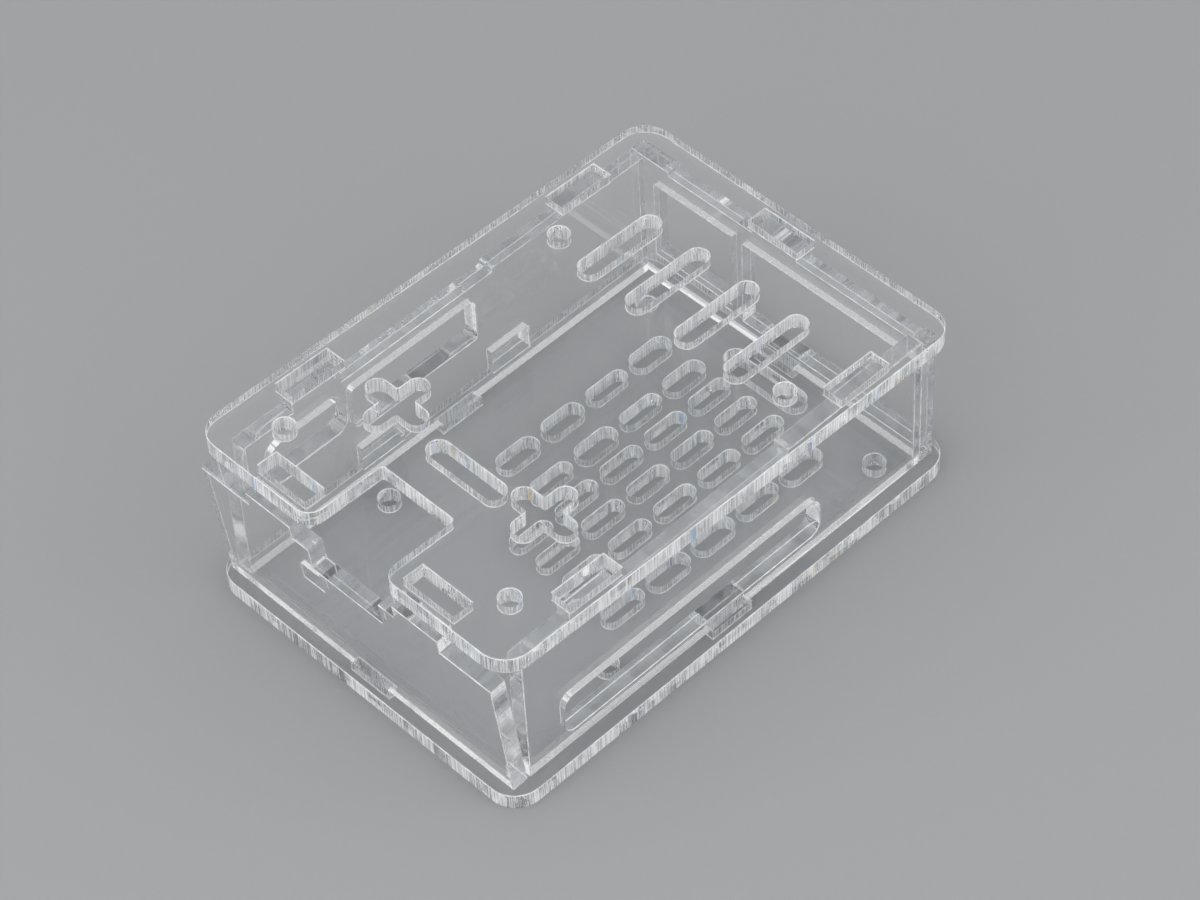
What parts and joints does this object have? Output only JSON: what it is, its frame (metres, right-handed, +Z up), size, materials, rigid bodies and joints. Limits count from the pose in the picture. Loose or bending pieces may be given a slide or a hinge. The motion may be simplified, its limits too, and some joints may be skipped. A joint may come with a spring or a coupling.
{
  "type": "single board computer case",
  "caption": "Clear laser-cut acrylic case for a single board computer, with slotted plates, tabbed walls, port windows and vents.",
  "frame": {"origin": "middle of the base plate's underside", "axes": "+X along the case's length, from the card end to the port end; +Y across it, from the header side to the socket side; +Z up"},
  "size_m": [0.0983, 0.068, 0.0351],
  "materials": {
    "clear_acrylic": "gloss"
  },
  "bodies": {
    "root": {"base_plate": "clear_acrylic", "header_side_wall": "clear_acrylic", "socket_side_wall": "clear_acrylic", "port_end_panel": "clear_acrylic", "card_end_panel": "clear_acrylic", "lid_plate": "clear_acrylic"}
  },
  "joints": []
}
